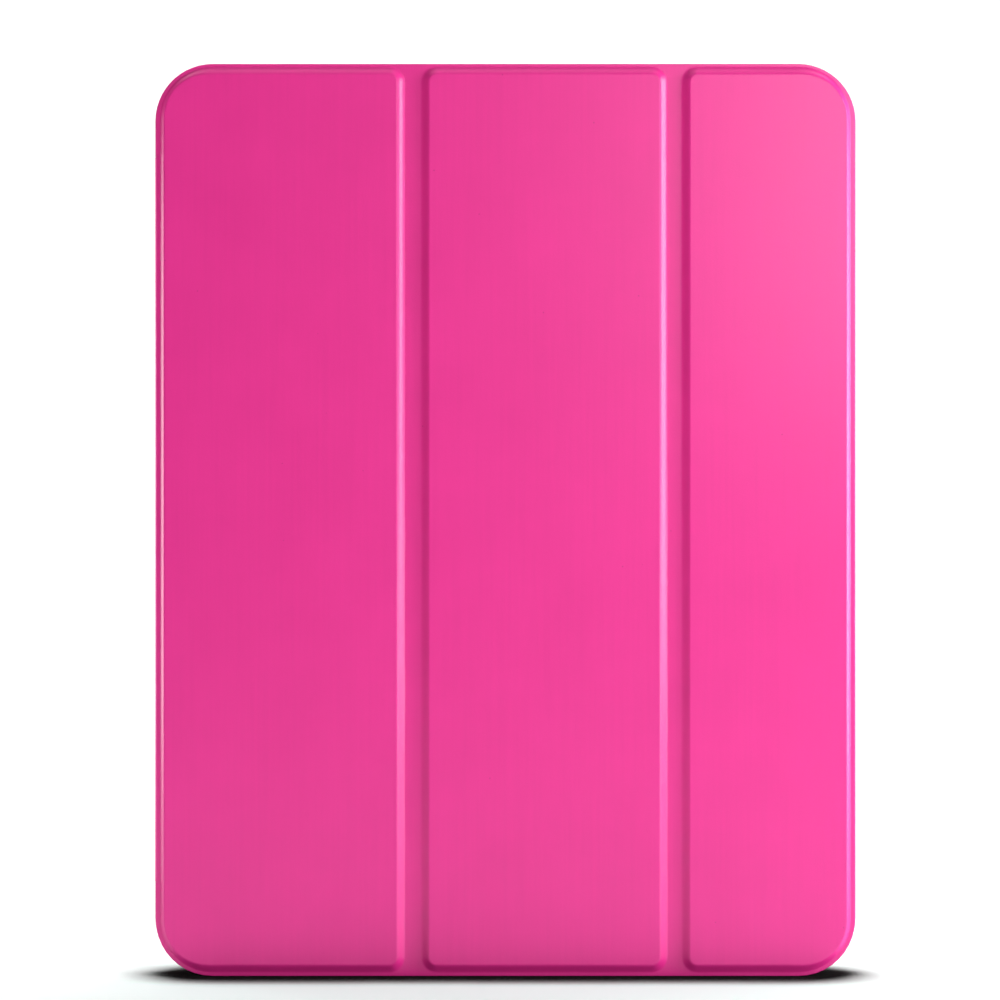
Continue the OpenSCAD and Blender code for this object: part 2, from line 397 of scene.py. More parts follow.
@dataclass(frozen=True)
class Microfibre:
    """Brushed microfibre: short matted fibres, soft brushed patches and a pale sheen."""

    colour: Colour = (0.78, 0.13, 0.36)
    sheen: Colour = (1.0, 0.72, 0.86)
    nap_per_m: float = 24.0
    clump_per_m: float = 700.0
    fibre_per_m: float = 5200.0
    fibre_stretch: float = 0.22
    fibre_depth: float = 0.00012

    def build(self) -> bpy.types.Material:
        """Makes the material.

        Two noises stretched along crossing directions give matted fibres; a slow noise turns the
        nap lighter and darker in patches.

        Returns:
            The finished material.
        """
        mix = Recipe("microfibre", Place.SURFACE)
        nap = mix.noise(self.nap_per_m, 5.0)
        clump = mix.noise(self.clump_per_m, 3.0)
        thin, long = self.fibre_per_m, self.fibre_per_m * self.fibre_stretch
        along, across = mix.streaks((thin, thin, long)), mix.streaks((long, thin, thin))
        fibre = mix.maths("MAXIMUM", along, across)
        tone = mix.total((nap, 0.45), (clump, 0.2), (fibre, 0.35))
        body = mix.tones(tone, (0.35, 0.72), self.colour, (0.80, 1.14))
        mix.relief(mix.total((fibre, 1.0), (clump, 0.8)), self.fibre_depth, 0.7)
        rough = mix.span(nap, NOISE_BAND, (0.86, 0.97))
        return mix.settle(Base_Color=body, Roughness=rough, Specular_IOR_Level=0.2,
                          Sheen_Weight=0.35, Sheen_Roughness=0.45, Sheen_Tint=(*self.sheen, 1.0))


@dataclass(frozen=True)
class MouldedPlastic:
    """Tough moulded plastic with a fine spark-eroded texture and faint flow marks."""

    name: str = "moulded_shell"
    colour: Colour = (0.50, 0.007, 0.125)
    roughness: float = 0.5
    texture_per_m: float = 3600.0
    flow_per_m: float = 30.0
    texture_depth: float = 0.00005

    def build(self) -> bpy.types.Material:
        """Makes the material: fine cells for the texture, slow noise for the flow of the melt.

        Returns:
            The finished material.
        """
        mix = Recipe(self.name, Place.OBJECT)
        flow = mix.streaks((1.0, 1.0, 0.35), self.flow_per_m)
        spark = mix.noise(self.texture_per_m, 3.0)
        pits = mix.cells(self.texture_per_m * 0.6).outputs["Distance"]
        tone = mix.total((flow, 0.6), (spark, 0.4))
        body = mix.tones(tone, NOISE_BAND, self.colour, (0.93, 1.07))
        mix.relief(mix.total((spark, 0.7), (pits, 0.5)), self.texture_depth, 0.4)
        rough = mix.span(tone, NOISE_BAND, (self.roughness - 0.05, self.roughness + 0.07))
        return mix.settle(Base_Color=body, Roughness=rough, Specular_IOR_Level=0.28)


@dataclass(frozen=True)
class PressedBoard:
    """Grey-brown pressed board: matted fibres, flecks and a dull face."""

    colour: Colour = (0.36, 0.27, 0.18)
    pulp_per_m: float = 420.0
    fibre_per_m: float = 2600.0
    fleck_per_m: float = 520.0
    pulp_depth: float = 0.00008

    def build(self) -> bpy.types.Material:
        """Makes the material: crossing stretched noises for fibres, sparse cells for flecks.

        Returns:
            The finished material.
        """
        mix = Recipe("pressed_board", Place.OBJECT)
        pulp = mix.noise(self.pulp_per_m, 5.0)
        thin, long = self.fibre_per_m, self.pulp_per_m
        along, across = mix.streaks((thin, thin, long)), mix.streaks((long, thin, thin))
        fibre = mix.maths("MULTIPLY", along, across)
        tone = mix.total((pulp, 0.6), (fibre, 1.0))
        body = mix.tones(tone, (0.4, 0.8), self.colour, (0.8, 1.2))
        specks = mix.cells(self.fleck_per_m, "F1").outputs["Distance"]
        body = mix.blend(mix.span(specks, (0.05, 0.11), (0.5, 0.0)), body, shade(self.colour, 0.4))
        mix.relief(mix.maths("ADD", fibre, pulp), self.pulp_depth, 0.5)
        rough = mix.span(pulp, NOISE_BAND, (0.8, 0.95))
        return mix.settle(Base_Color=body, Roughness=rough, Specular_IOR_Level=0.3)


@dataclass(frozen=True)
class NickelPlate:
    """Bright nickel plating over a pressed magnet, with hairline scratches."""

    colour: Colour = (0.63, 0.62, 0.60)
    tarnish_per_m: float = 260.0
    scratch_per_m: float = 9000.0
    scratch_depth: float = 0.00002

    def build(self) -> bpy.types.Material:
        """Makes the material: scratches are noise stretched along the height, over slow tarnish.

        Returns:
            The finished material.
        """
        mix = Recipe("nickel_plate", Place.OBJECT)
        tarnish = mix.noise(self.tarnish_per_m, 4.0)
        scratch = mix.streaks((self.scratch_per_m, self.scratch_per_m, self.tarnish_per_m))
        body = mix.tones(tarnish, (0.35, 0.7), self.colour, (0.88, 1.08))
        mix.relief(scratch, self.scratch_depth, 0.3)
        rough = mix.span(mix.total((scratch, 0.6), (tarnish, 0.4)), NOISE_BAND, (0.18, 0.36))
        return mix.settle(Base_Color=body, Roughness=rough, Metallic=1.0)


# ---------------------------------------------------------------- surfaces on grids


@dataclass(frozen=True)
class Outline:
    """An upright box outline, seen from the front, with its left and right corners rounded."""

    left: float
    bottom: float
    right: float
    top: float
    left_r: float
    right_r: float

    def inset(self, left: float, ends: float, right: float) -> "Outline":
        """The outline with its left side, both ends and right side moved in, corners concentric."""
        return Outline(self.left + left, self.bottom + ends, self.right - right, self.top - ends,
                       max(0.02, self.left_r - ends), max(0.02, self.right_r - ends))

    def spine_line(self) -> "Outline":
        """The upright line in the outline's middle that its inner rings close on."""
        middle, half = (self.left + self.right) / 2, (self.right - self.left) / 2
        return Outline(middle, self.bottom + half, middle, self.top - half, 0.0, 0.0)

    def row(self) -> np.ndarray:
        """The six numbers as an array."""
        return np.array([self.left, self.bottom, self.right, self.top, self.left_r, self.right_r])


@dataclass(frozen=True)
class Stops:
    """How a ring is divided: shares of the way along its ends, and up its sides, and per corner."""

    across: np.ndarray
    up: np.ndarray
    corner: int = 10


@dataclass
class Rings:
    """Outlines stacked from the front middle, round an edge and back to the middle.

    foot counts the rings before the flat rim, and edge is the number of the outermost ring.
    """

    rows: list[np.ndarray] = field(default_factory=list)
    depths: list[float] = field(default_factory=list)
    foot: int = 0
    edge: int = 0

    def step(self, outline: Outline, depth: float) -> None:
        """Adds one ring at a depth."""
        self.rows.append(outline.row())
        self.depths.append(depth)

    def glide(self, start: Outline, end: Outline, shares: np.ndarray, depths: np.ndarray) -> None:
        """Adds rings between two outlines.

        Args:
            start: the outline at share 0.
            end: the outline at share 1.
            shares: where each ring lies between them.
            depths: each ring's depth.
        """
        first, last = start.row(), end.row()
        self.rows.extend(first + share * (last - first) for share in shares)
        self.depths.extend(float(depth) for depth in depths)

    def points(self, stops: Stops) -> np.ndarray:
        """Works out every ring's points.

        A ring runs along its bottom to the right, up the right side, back along the top and down
        the left side; each corner is a quarter circle about a centre one radius in from both sides.

        Args:
            stops: how each ring is divided.

        Returns:
            An array of rings by points by X, Y, Z.
        """
        table = np.array(self.rows)[:, :, None]
        left, bottom, right, top, left_r, right_r = (table[:, i] for i in range(6))
        turn = np.linspace(0.0, 1.0, stops.corner + 1)[None, 1:-1] * math.pi / 2
        across, up = stops.across[None, :], stops.up[None, :]
        zero = np.zeros_like(across)
        level = np.zeros_like(up)
        low_x = (left + left_r) + across * (right - right_r - left - left_r)
        right_z = (bottom + right_r) + up * (top - bottom - 2 * right_r)
        left_z = (bottom + left_r) + up * (top - bottom - 2 * left_r)
        parts = [
            (low_x, bottom + zero),
            (right - right_r + right_r * np.sin(turn), bottom + right_r - right_r * np.cos(turn)),
            (right + level, right_z),
            (right - right_r + right_r * np.cos(turn), top - right_r + right_r * np.sin(turn)),
            (low_x[:, ::-1], top + zero),
            (left + left_r - left_r * np.sin(turn), top - left_r + left_r * np.cos(turn)),
            (left + level, left_z[:, ::-1]),
            (left + left_r - left_r * np.cos(turn), bottom + left_r - left_r * np.sin(turn)),
        ]
        x, z = (np.concatenate([part[axis] for part in parts], 1) for axis in (0, 1))
        depth = np.broadcast_to(np.array(self.depths)[:, None], x.shape)
        return np.stack([x, depth, z], -1)


def grid_quads(rows: int, columns: int, ring: bool, torus: bool = False) -> np.ndarray:
    """Quads of a grid of points stored row by row.

    Args:
        rows: number of rows.
        columns: points in a row.
        ring: True if each row closes on itself.
        torus: True if the last row also joins the first.

    Returns:
        An array of quads by four point numbers.
    """
    row = np.arange(rows if torus else rows - 1)[:, None]
    column = np.arange(columns if ring else columns - 1)[None, :]
    below, beside = (row + 1) % rows, (column + 1) % columns
    quads = np.stack([row * columns + column, below * columns + column, below * columns + beside,
                      row * columns + beside], -1)
    return quads.reshape(-1, 4)


def make_piece(name: str, points: np.ndarray, quads: np.ndarray, finish: bpy.types.Material,
               sharp_deg: float = 40.0) -> bpy.types.Object:
    """Puts a surface into a mesh object, welded, facing outwards and smoothly shaded.

    Args:
        name: the piece's name.
        points: any shape of array that ends in X, Y, Z, in millimetres.
        quads: four point numbers to a face.
        finish: the piece's material.
        sharp_deg: edges bent by more than this stay crisp.

    Returns:
        The new object, at the origin.
    """
    mesh = bpy.data.meshes.new(name)
    mesh.from_pydata((points.reshape(-1, 3) * MM).tolist(), [], quads.tolist())
    work = bmesh.new()
    work.from_mesh(mesh)
    bmesh.ops.remove_doubles(work, verts=work.verts, dist=WELD_M)
    bmesh.ops.dissolve_degenerate(work, edges=work.edges, dist=WELD_M / 20)
    bmesh.ops.recalc_face_normals(work, faces=work.faces)
    work.to_mesh(mesh)
    work.free()
    return dress(bpy.data.objects.new(name, mesh), finish, sharp_deg)


def dress(piece: bpy.types.Object, finish: bpy.types.Material,
          sharp_deg: float) -> bpy.types.Object:
    """Links a piece into the scene with its finish, its smoothing and its rest place.

    Args:
        piece: the new object.
        finish: its material.
        sharp_deg: edges bent by more than this stay crisp.

    Returns:
        The same object.
    """
    mesh = piece.data
    bpy.context.scene.collection.objects.link(piece)
    mesh.materials.clear()
    mesh.materials.append(finish)
    mesh.shade_smooth()
    mesh.set_sharp_from_angle(angle=math.radians(sharp_deg))
    place = np.empty(len(mesh.vertices) * 3, np.float32)
    mesh.vertices.foreach_get("co", place)
    mesh.attributes.new(LAY, "FLOAT_VECTOR", "POINT").data.foreach_set("vector", place)
    LOG.info("made %s: %d faces", piece.name, len(mesh.polygons))
    return piece


def quarter(count: int) -> np.ndarray:
    """Angles of a quarter turn, both ends included."""
    return np.linspace(0.0, math.pi / 2, count)


def arc(centre: Pair, radius: float, start: float, end: float, count: int) -> np.ndarray:
    """Points on a circle in the XY plane between two angles in degrees, from +X towards +Y."""
    angle = np.radians(np.linspace(start, end, count))
    return np.stack([centre[0] + radius * np.cos(angle), centre[1] + radius * np.sin(angle)], -1)


def line(start: Pair, end: Pair, count: int) -> np.ndarray:
    """Evenly spaced points on a straight line, both ends included."""
    share = np.linspace(0.0, 1.0, count)[:, None]
    return np.array(start) + share * (np.array(end) - np.array(start))


def wall(section: np.ndarray, heights: np.ndarray) -> np.ndarray:
    """Repeats a section in the XY plane at each height.

    Args:
        section: points by X, Y.
        heights: the heights.

    Returns:
        An array of section points by heights by X, Y, Z.
    """
    shape = (len(section), len(heights))
    return np.stack([np.broadcast_to(values, shape)
                     for values in (section[:, :1], section[:, 1:], heights[None, :])], -1)


def low(node: str) -> np.ndarray:
    """A CAD node's lowest corner in millimetres."""
    return np.array(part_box(node)[0]) / MM


def high(node: str) -> np.ndarray:
    """A CAD node's highest corner in millimetres."""
    return np.array(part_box(node)[1]) / MM


# ---------------------------------------------------------------- the cover


@dataclass(frozen=True)
class CoverPlan:
    """Sizes that the cover's pieces share.

    rim and edge_bevel are the flat rim and the slope at the cover's two sides, end_rim and
    end_bevel the same at its top and bottom, and fold_bevel the slope into a groove. The bend
    sizes, which nothing here reads, give the bands over which a piece would bend: from the spine's
    outer face and the rim's face at the cover's hinge, from the spine's outer face and the case's
    back at the spine's hinge, and from fold_lead before a fold's middle to the groove's far side at
    a fold. The flap sizes shape the free edge and corners of the leather on the tray's back.
    """

    skin: float = 0.6
    lining: float = 0.5
    spine_lining: float = 0.3
    spine_board: float = 0.4
    rim: float = 1.7
    edge_bevel: float = 1.5
    end_rim: float = 1.1
    end_bevel: float = 2.7
    fold_bevel: float = 2.6
    fold_corner: float = 5.0
    corner: float = 18.0
    edge_inset: float = 0.3
    end_setback: float = 3.0
    board_setback: float = 2.3
    edge_round: float = 1.2
    groove_halves: Pair = (2.5, 2.2)
    lining_dip: float = 0.30
    bend_near: float = 0.1
    bend_far: float = 1.2
    bend_depth: float = 1.1
    fold_lead: float = 0.2
    spine_half: float = 9.0
    back_round: float = 0.8
    back_bend_in: float = 1.6
    back_bend_down: float = 1.65
    flap_corner: float = 4.0
    flap_straight: float = 12.0
    flap_soft: float = 0.22

    @property
    def left(self) -> float:
        """The spine's outer face."""
        return low("spine_skin")[0]

    @property
    def back(self) -> float:
        """The case's back face."""
        return high("back_shell")[1]

    @property
    def crest(self) -> float:
        """The panels' raised face."""
        return low("panel_2_skin")[1]

    @property
    def cloth(self) -> float:
        """The plane between leather and lining."""
        return low("panel_2_lining")[1]

    @property
    def inside(self) -> float:
        """The lining's inner face."""
        return high("panel_2_lining")[1]

    @property
    def rim_face(self) -> float:
        """The leather's face on the rim and in the grooves."""
        return self.cloth - self.skin

    @property
    def top(self) -> float:
        """The cover's top edge."""
        return high("panel_2_skin")[2]

    @property
    def case_top(self) -> float:
        """The tray's top."""
        return high("back_shell")[2]

    @property
    def spine_ends(self) -> tuple[float, float]:
        """The heights of the spine's two ends."""
        return low("spine_skin")[2], high("spine_skin")[2]


@dataclass(frozen=True)
class PanelPlan:
    """Where one panel stands, and the fold on its left."""

    number: int
    foot_left: float
    foot_right: float
    sheet_left: float
    sheet_right: float

    @property
    def first(self) -> bool:
        """True for the panel beside the spine."""
        return self.number == 1

    @property
    def last(self) -> bool:
        """True for the panel with the free edge."""
        return self.number == 3


def end_stops(first: float, dense: int, plain: int) -> np.ndarray:
    """Shares from 0 to 1: dense steps up to the first share and plain steps after it."""
    return np.concatenate([np.linspace(0.0, first, dense, endpoint=False),
                           np.linspace(first, 1.0, plain + 1)])


class Cover:
    """The leather and the lining of the three panels, with the folds and the spine between them."""

    def __init__(self, plan: CoverPlan, leather: bpy.types.Material,
                 lining: bpy.types.Material) -> None:
        """Keeps the sizes and finishes.

        Args:
            plan: the shared sizes.
            leather: the outer finish.
            lining: the inner finish.
        """
        self.plan, self.leather, self.lining = plan, leather, lining
        self.folds = [(high(f"panel_{number}_skin")[0] + low(f"panel_{number + 1}_skin")[0]) / 2
                      for number in (1, 2)]
        (fold_1, fold_2), (half_1, half_2) = self.folds, plan.groove_halves
        feet = [(plan.left + plan.rim, fold_1 - half_1), (fold_1 + half_1, fold_2 - half_2),
                (fold_2 + half_2, high("back_shell")[0] - plan.rim)]
        self.panels = [
            PanelPlan(1, *feet[0], plan.left + plan.edge_inset, feet[0][1]),
            PanelPlan(2, *feet[1], feet[0][1], feet[1][1]),
            PanelPlan(3, *feet[2], feet[1][1], high("panel_3_skin")[0]),
        ]

    def stops(self, panel: PanelPlan) -> Stops:
        """How the rings of a panel are divided.

        Args:
            panel: the panel.

        Returns:
            Dense steps over the fold at its left; for the first panel, steps close together at the
            spine's ends, the upper ones mirrored from the lower ones.
        """
        if not panel.first:
            bent = panel.foot_left - panel.sheet_left + 0.6
            share = bent / (panel.sheet_right - panel.sheet_left)
            return Stops(end_stops(share, 24, 22), np.linspace(0.0, 1.0, 31))
        radius = self.plan.corner
        bottom, top = self.plan.spine_ends
        back = self.plan.end_setback
        marks = bottom + np.array([-0.4, 0.0, 0.1, 0.3, back - 0.1, back])
        heights = np.concatenate([
            [radius, (radius + bottom) / 2], marks,
            np.linspace(bottom + 8, top - 8, 27),
            (bottom + top - marks)[::-1], [top + (bottom - radius) / 2, top + bottom - radius],
        ])
        shares = (heights - heights[0]) / (heights[-1] - heights[0])
        return Stops(np.linspace(0.0, 1.0, 25), shares)

    def spine_zone(self, outer: np.ndarray, panel: PanelPlan) -> np.ndarray:
        """Which columns of the first panel's rings run on round the spine.

        Args:
            outer: the outermost ring's points.
            panel: the first panel.

        Returns:
            The numbers of the columns on the left side between the spine's ends.
        """
        bottom, top = self.plan.spine_ends
        straight = np.abs(outer[:, 0] - panel.sheet_left) < 0.3
        between = (outer[:, 2] > bottom - 0.01) & (outer[:, 2] < top + 0.01)
        return np.nonzero(straight & between)[0]

    def skin_rings(self, panel: PanelPlan, tongue_count: int) -> Rings:
        """The leather of one panel as rings.

        From the crest inwards it is flat. The bevel from crest to foot is part straight line and
        part half cosine wave, so it leaves both with a soft bend. The rim runs flat to a rounded
        edge, and behind it the sheet comes back to the board's pocket.

        Args:
            panel: the panel.
            tongue_count: rings from the foot to the pocket, as many as the wrap has points.

        Returns:
            The stack of rings.
        """
        plan = self.plan
        rounded = plan.corner - plan.rim
        foot = Outline(panel.foot_left, plan.end_rim, panel.foot_right,
                       plan.case_top - plan.end_rim,
                       rounded if panel.first else plan.fold_corner,
                       rounded if panel.last else plan.fold_corner)
        bevel_l = plan.edge_bevel if panel.first else plan.fold_bevel
        bevel_r = plan.edge_bevel if panel.last else plan.fold_bevel
        crest = foot.inset(bevel_l, plan.end_bevel, bevel_r)
        sheet = self.sheet_outline(panel)
        rings = Rings()
        rings.step(crest.spine_line(), plan.crest)
        for margin in (0.8, 0.25):
            rings.step(crest.inset(margin, margin, margin), plan.crest)
        share = np.linspace(0.0, 1.0, 13)
        fall = 0.45 * share + 0.55 * (0.5 - 0.5 * np.cos(math.pi * share))
        rings.glide(crest, foot, share, plan.crest + (plan.rim_face - plan.crest) * fall)
        edge = plan.skin * 0.42
        flat = self.drawn_in(sheet, panel, edge)
        angles, tuck = quarter(6)[1:], np.array([0.35, 0.7, 1.0])
        behind = (plan.cloth - 0.08, plan.cloth)
        count = tongue_count - len(angles) - len(behind) - len(tuck)
        rings.foot = len(rings.rows)
        share = np.linspace(0.0, 1.0, count + 1)[1:]
        rings.glide(foot, flat, share, np.full(count, plan.rim_face))
        rings.glide(flat, sheet, np.sin(angles), plan.rim_face + edge * (1 - np.cos(angles)))
        rings.edge = len(rings.rows) - 1
        for depth in behind:
            rings.step(sheet, depth)
        rings.glide(sheet, crest, tuck, np.full(len(tuck), plan.cloth))
        rings.step(crest, plan.crest + plan.skin)
        rings.step(crest.spine_line(), plan.crest + plan.skin)
        return rings

    def sheet_outline(self, panel: PanelPlan) -> Outline:
        """The outline of one panel's sheet, out to the cover's edge and the neighbouring fold.

        Args:
            panel: the panel.

        Returns:
            The outline.
        """
        outer = self.plan.corner - self.plan.edge_inset
        return Outline(panel.sheet_left, 0.0, panel.sheet_right, self.plan.top,
                       outer if panel.first else 0.03, outer if panel.last else 0.03)

    def drawn_in(self, sheet: Outline, panel: PanelPlan, soft: float) -> Outline:
        """A sheet's outline moved in by its edge rounding, but not where it meets a neighbour."""
        return sheet.inset(soft if panel.first else 0.0, soft, soft if panel.last else 0.0)

    def leather_piece(self, panel: PanelPlan) -> bpy.types.Object:
        """Builds one panel's leather, with the fold on its left.

        Args:
            panel: the panel.

        Returns:
            The new piece.
        """
        wrap = self.skin_wrap()
        rings = self.skin_rings(panel, len(wrap))
        points = rings.points(self.stops(panel))
        if panel.first:
            zone = self.lay_tongue(points, panel, wrap, rings)
            self.close_pocket(points[rings.foot:rings.foot + len(wrap)], zone)
        quads = grid_quads(*points.shape[:2], True)
        piece = make_piece(f"cover_leather_{panel.number}", points, quads, self.leather)
        self.finish(piece, panel, [f"panel_{panel.number}_skin"])
        return piece

    def close_pocket(self, tongue: np.ndarray, zone: np.ndarray) -> None:
        """Thickens the leather past the spine board's two ends, where there is no board behind it.

        Args:
            tongue: the rings that follow the wrap, changed in place.
            zone: the columns between the spine's ends.
        """
        plan = self.plan
        heights = tongue[0, zone, 2]
        bottom, top = plan.spine_ends
        reach = plan.end_setback - 0.05
        ends = zone[(heights < bottom + reach) | (heights > top - reach)]
        block = tongue[:, ends]
        inner = np.abs(block[..., 0] - plan.left - plan.skin) < 0.02
        shallow = inner & (block[..., 1] > plan.rim_face + 1.5)
        block[..., 0][shallow] += plan.spine_board
        tongue[:, ends] = block

    def skin_wrap(self) -> np.ndarray:
        """The leather's section in the XY plane where it runs round on to the spine.

        From the first panel's foot it goes left on the rim, round the front edge, back along the
        spine's outer face to its middle, and returns inside round the spine's board.

        Returns:
            The section's points by X, Y.
        """
        plan = self.plan
        left, face, radius = plan.left, plan.rim_face, plan.edge_round
        middle = (plan.back + face) / 2
        inner, deep = left + plan.skin, left + plan.skin + plan.spine_board
        pocket = face + plan.board_setback
        return np.concatenate([
            arc((left + radius, face + radius), radius, 270, 180, 10),
            line((left, face + radius + 0.3), (left, face + 3.4), 6),
            np.array([[left, middle], [inner, middle], [inner, pocket], [deep, pocket]]),
            line((deep, face + 1.8), (deep, plan.cloth), 3),
            np.array([[left + 1.5, plan.cloth], [left + 2.0, plan.cloth]]),
        ])

    def lining_wrap(self) -> np.ndarray:
        """The lining's section where it runs round on to the spine, inner face first.

        Returns:
            The section's points by X, Y.
        """
        plan = self.plan
        face = plan.left + plan.skin + plan.spine_board + plan.spine_lining
        back_face = face - plan.spine_lining
        end = high("spine_lining")[1]
        fillet = 0.35
        return np.concatenate([
            line((face + 2.2, plan.inside), (face + fillet + 0.1, plan.inside), 5),
            arc((face + fillet, plan.inside + fillet), fillet, 270, 180, 6),
            line((face, plan.inside + 0.7), (face, plan.inside + 3.0), 6),
            np.array([[face, end - 1.0], [face, end - plan.spine_lining - 0.05], [back_face, end]]),
            line((back_face, plan.inside + 3.0), (back_face, plan.cloth), 5),
            np.array([[back_face + 0.8, plan.cloth]]),
        ])

    def lay_tongue(self, points: np.ndarray, panel: PanelPlan, wrap: np.ndarray,
                   rings: Rings) -> np.ndarray:
        """Moves the rings of the left side, between the spine's ends, on to the wrap's section.

        Args:
            points: rings by columns by X, Y, Z, changed in place.
            panel: the first panel.
            wrap: the section's points, one to a ring from the foot on.
            rings: the stack that the points come from.

        Returns:
            The numbers of the columns that were moved.
        """
        outer = points[rings.edge].copy()
        zone = self.spine_zone(outer, panel)
        points[rings.foot:rings.foot + len(wrap), zone] = wall(wrap, outer[zone, 2])
        return zone

    def lining_piece(self, panel: PanelPlan) -> bpy.types.Object:
        """Builds one panel's lining, pressed a little into the fold on its left.

        The inner face is flat up to the fold. Over the fold it dips by a cosine wave.

        Args:
            panel: the panel.

        Returns:
            The new piece.
        """
        plan = self.plan
        wrap = self.lining_wrap()
        sheet = self.sheet_outline(panel)
        soft = plan.lining * 0.4
        flat = self.drawn_in(sheet, panel, soft)
        reach = 3.5 if panel.first else panel.foot_left - panel.sheet_left + 0.8
        near = sheet.inset(reach, 3.0, 2.0)
        rings = Rings()
        rings.step(near.spine_line(), plan.inside)
        rings.step(near.inset(1.0, 1.0, 1.0), plan.inside)
        angles, tuck = quarter(6)[1:], np.array([0.5, 1.0])
        count = len(wrap) - len(angles) - 1 - len(tuck)
        rings.foot = len(rings.rows)
        rings.glide(near, flat, np.linspace(0.0, 1.0, count), np.full(count, plan.inside))
        rings.glide(flat, sheet, np.sin(angles), plan.inside - soft * (1 - np.cos(angles)))
        rings.edge = len(rings.rows) - 1
        rings.step(sheet, plan.cloth)
        rings.glide(sheet, near, tuck, np.full(len(tuck), plan.cloth))
        rings.step(near.spine_line(), plan.cloth)
        points = rings.points(self.stops(panel))
        if panel.first:
            self.lay_tongue(points, panel, wrap, rings)
        else:
            fold, half = self.fold_band(panel)
            way = np.clip(np.abs(points[..., 0] - fold) / half, 0.0, 1.0)
            dip = plan.lining_dip * (0.5 + 0.5 * np.cos(math.pi * way))
            points[..., 1] -= np.where(points[..., 1] > plan.inside - 0.05, dip, 0.0)
        quads = grid_quads(*points.shape[:2], True)
        piece = make_piece(f"cover_lining_{panel.number}", points, quads, self.lining)
        nodes = [f"panel_{panel.number}_lining"] + (["spine_lining"] if panel.first else [])
        self.finish(piece, panel, nodes)
        return piece

    def fold_band(self, panel: PanelPlan) -> Pair:
        """The middle of the fold on a panel's left, and half its groove's width."""
        fold = self.folds[panel.number - 2]
        return fold, fold - panel.sheet_left

    def finish(self, piece: bpy.types.Object, panel: PanelPlan, nodes: list[str]) -> None:
        """Hides the CAD nodes that a piece takes the place of and bakes its transform.

        Args:
            piece: the leather or lining.
            panel: its panel; not used.
            nodes: the CAD nodes that it stands for.
        """
        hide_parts(*nodes)
        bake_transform(piece)

    def spine_piece(self) -> bpy.types.Object:
        """Builds the leather of the spine's back half and of the flap bonded to the tray's back.

        It is a sheet over two parameters: the way along the section, from the flap's free edge
        round the back edge to the spine's middle, and the height. Near its edges the outer face
        falls away on a quarter circle, and the flap's free corners are rounded in the same way.

        Returns:
            The new piece.
        """
        plan = self.plan
        left, back, radius = plan.left, plan.back, plan.back_round
        middle = (back + plan.rim_face) / 2
        free = high("back_flap_skin")[0]
        bottom, top = plan.spine_ends
        inner, deep = left + plan.skin, left + plan.skin + plan.spine_board
        pocket = back - plan.board_setback
        across = np.linspace(free, left + 3.2, 22)
        outer = np.concatenate([
            np.stack([across, np.full_like(across, back)], -1),
            line((left + 2.6, back), (left + radius + 0.3, back), 4),
            arc((left + radius, back - radius), radius, 90, 180, 9),
            line((left, back - radius - 0.3), (left, back - 2.2), 4),
            np.array([[left, pocket], [left, pocket], [left, middle]]),
        ])
        under = np.concatenate([
            np.stack([across, np.full_like(across, back - plan.skin)], -1),
            line((left + 2.6, back - plan.skin), (deep + 0.3, back - plan.skin), 4),
            arc((deep + 0.12, back - plan.skin - 0.12), 0.12, 90, 180, 9),
            line((deep, back - 1.1), (deep, back - 2.2), 4),
            np.array([[deep, pocket], [inner, pocket], [inner, middle]]),
        ])
        setback = plan.end_setback
        marks = np.array([0.0, 0.04, 0.12, 0.25, 0.5, 0.9, 1.5, 2.2, setback, setback + 0.05, 4.0])
        heights = np.concatenate([bottom + marks, np.linspace(bottom + 10, top - 10, 26),
                                  top - marks[::-1]])
        front, rear = wall(outer, heights), wall(under, heights)
        ends = np.minimum(heights - bottom, top - heights)
        solid = (ends < setback + 0.01)[None, :] & (np.abs(under[:, 0] - inner) < 0.01)[:, None]
        rear[..., 0] = np.where(solid, deep, rear[..., 0])
        gap = plan.flap_corner - np.clip(ends, 0.0, plan.flap_corner)
        pull = plan.flap_corner - np.sqrt(plan.flap_corner ** 2 - gap ** 2)
        straight = left + plan.flap_straight
        share = np.clip((front[..., 0] - straight) / (free - straight), 0.0, 1.0)
        for side in (front, rear):
            side[..., 0] -= share * pull[None, :]
        from_free = (free - front[..., 0]) - share * pull[None, :]
        from_ends = np.broadcast_to(ends[None, :], from_free.shape)
        for to_edge, pulls_side in ((from_ends, True), (from_free, False)):
            inside = 1.0 - np.clip(to_edge, 0.0, plan.flap_soft) / plan.flap_soft
            fall = plan.flap_soft * (1.0 - np.sqrt(np.clip(1.0 - inside ** 2, 0.0, 1.0)))
            on_back = np.clip((front[..., 0] - left) / radius, 0.0, 1.0)
            front[..., 1] -= fall * on_back
            if pulls_side:
                front[..., 0] += fall * (1.0 - on_back)
        points = np.stack([front, rear])
        count, columns = front.shape[:2]
        size = count * columns
        sheet = grid_quads(count, columns, False)
        faces = [sheet, sheet[:, ::-1] + size]
        rim = np.concatenate([np.arange(columns), np.arange(1, count) * columns + columns - 1,
                              (count - 1) * columns + np.arange(columns - 2, -1, -1),
                              np.arange(count - 2, 0, -1) * columns])
        after = np.roll(rim, -1)
        faces.append(np.stack([rim, after, after + size, rim + size], -1))
        piece = make_piece("spine_leather", points, np.concatenate(faces), self.leather)
        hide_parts("spine_skin", "back_flap_skin")
        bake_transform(piece)
        return piece

    def build(self) -> list[bpy.types.Object]:
        """Builds every piece of leather and lining.

        Returns:
            The new pieces.
        """
        made = [self.spine_piece()]
        for panel in self.panels:
            made += [self.leather_piece(panel), self.lining_piece(panel)]
        return made


# ---------------------------------------------------------------- the tray


